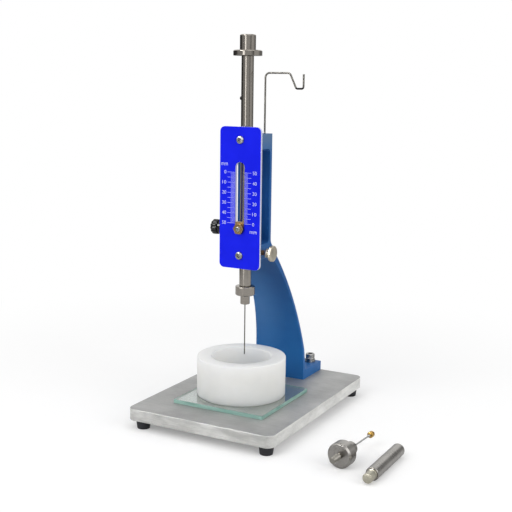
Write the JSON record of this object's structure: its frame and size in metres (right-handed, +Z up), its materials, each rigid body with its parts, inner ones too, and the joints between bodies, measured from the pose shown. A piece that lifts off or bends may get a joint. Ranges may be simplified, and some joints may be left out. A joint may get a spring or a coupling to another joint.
{
  "type": "vicat apparatus",
  "caption": "Setting-time tester: weighted rod with needle and scale on a blue cast stand, over a ring mould on glass, with loose needle and plunger.",
  "frame": {"origin": "where the sliding rod's axis meets the plane of the bench top that the rubber feet stand on", "axes": "+Z up along the sliding rod, +X to the right and +Y to the back as the user faces the scale"},
  "size_m": [0.2641, 0.2287, 0.3828],
  "materials": {
    "brushed_plate": "brushed steel plate with satin edges",
    "black_rubber": "moulded black rubber",
    "blue_casting": "semi-gloss blue paint on a casting",
    "blue_plate": "vivid blue gloss enamel with white marks",
    "turned_steel": "fine turned and ground steel",
    "bright_zinc": "bright zinc plated fasteners",
    "dark_steel": "blackened steel",
    "nickel": "warm nickel plating",
    "brass": "machined brass",
    "bronze_bush": "sintered bronze",
    "black_plastic": "glossy black moulded plastic",
    "wire_steel": "drawn spring wire",
    "plate_glass": "float glass with ground green edges",
    "mould_plastic": "milky translucent plastic"
  },
  "bodies": {
    "root": {"base_plate": "brushed_plate", "rubber_feet": "black_rubber", "foot_screws": "bright_zinc", "stand": "blue_casting", "stand_bolts": "bright_zinc", "spring_washers": "bright_zinc", "flat_washers": "bright_zinc", "upper_bush": "bronze_bush", "lower_bush": "bronze_bush", "scale_plate": "blue_plate", "scale_plate_screws": "bright_zinc"},
    "hook": {"wire_hook": "wire_steel"},
    "carriage": {"pointer_collar": "turned_steel", "pointer": "brass", "pointer_screw": "bright_zinc"},
    "probe": {"sliding_rod": "turned_steel", "stop_pin": "dark_steel", "top_weight": "turned_steel", "needle_holder": "turned_steel", "needle": "wire_steel"},
    "clamp_tip": {"clamp_pad": "brass"},
    "clamp_screw": {"clamp_stud": "bright_zinc", "clamp_knob": "black_plastic"},
    "lock_tip": {"lock_pad": "brass"},
    "lock_screw": {"lock_screw": "nickel"},
    "glass": {"glass_plate": "plate_glass"},
    "mould": {"mould": "mould_plastic"},
    "loose_needle": {"final_needle_holder": "turned_steel", "final_needle": "wire_steel", "ring_attachment": "brass"},
    "loose_plunger": {"plunger": "turned_steel"}
  },
  "joints": [
    {"name": "pointer_travel", "type": "slide", "parent": "root", "child": "carriage", "axis": [0, 0, 1], "range_m": [0, 0.0273]},
    {"name": "rod_setting", "type": "slide", "parent": "carriage", "child": "probe", "axis": [0, 0, 1], "range_m": [-0.032, 0]},
    {"name": "clamp_tip_feed", "type": "slide", "parent": "carriage", "child": "clamp_tip", "axis": [-1, 0, 0], "range_m": [0, 0.0016]},
    {"name": "clamp_knob_turn", "type": "hinge", "parent": "clamp_tip", "child": "clamp_screw", "pos_m": [-0.03, 0, 0.1938], "axis": [-1, 0, 0], "range_deg": [0, 720]},
    {"name": "lock_tip_feed", "type": "slide", "parent": "root", "child": "lock_tip", "axis": [1, 0, 0], "range_m": [0, 0.0016]},
    {"name": "lock_screw_turn", "type": "hinge", "parent": "lock_tip", "child": "lock_screw", "pos_m": [0.025, 0, 0.172], "axis": [1, 0, 0], "range_deg": [0, 720]},
    {"name": "hook_swing", "type": "hinge", "parent": "root", "child": "hook", "pos_m": [0.0143, 0.01, 0.3], "axis": [0, 0, 1], "range_deg": [-75, 150]},
    {"name": "glass_slide", "type": "slide", "parent": "root", "child": "glass", "axis": [0, -1, 0], "range_m": [0, 0.15]},
    {"name": "mould_lift", "type": "slide", "parent": "glass", "child": "mould", "axis": [0, 0, 1], "range_m": [0, 0.05]},
    {"name": "needle_set_lift", "type": "slide", "parent": "root", "child": "loose_needle", "axis": [0, 0, 1], "range_m": [0, 0.05]},
    {"name": "plunger_lift", "type": "slide", "parent": "root", "child": "loose_plunger", "axis": [0, 0, 1], "range_m": [0, 0.05]}
  ],
  "couplings": [
    {"joint": "clamp_knob_turn", "follows": "clamp_tip_feed", "rad_per_m": 7854},
    {"joint": "lock_screw_turn", "follows": "lock_tip_feed", "rad_per_m": 7854}
  ]
}
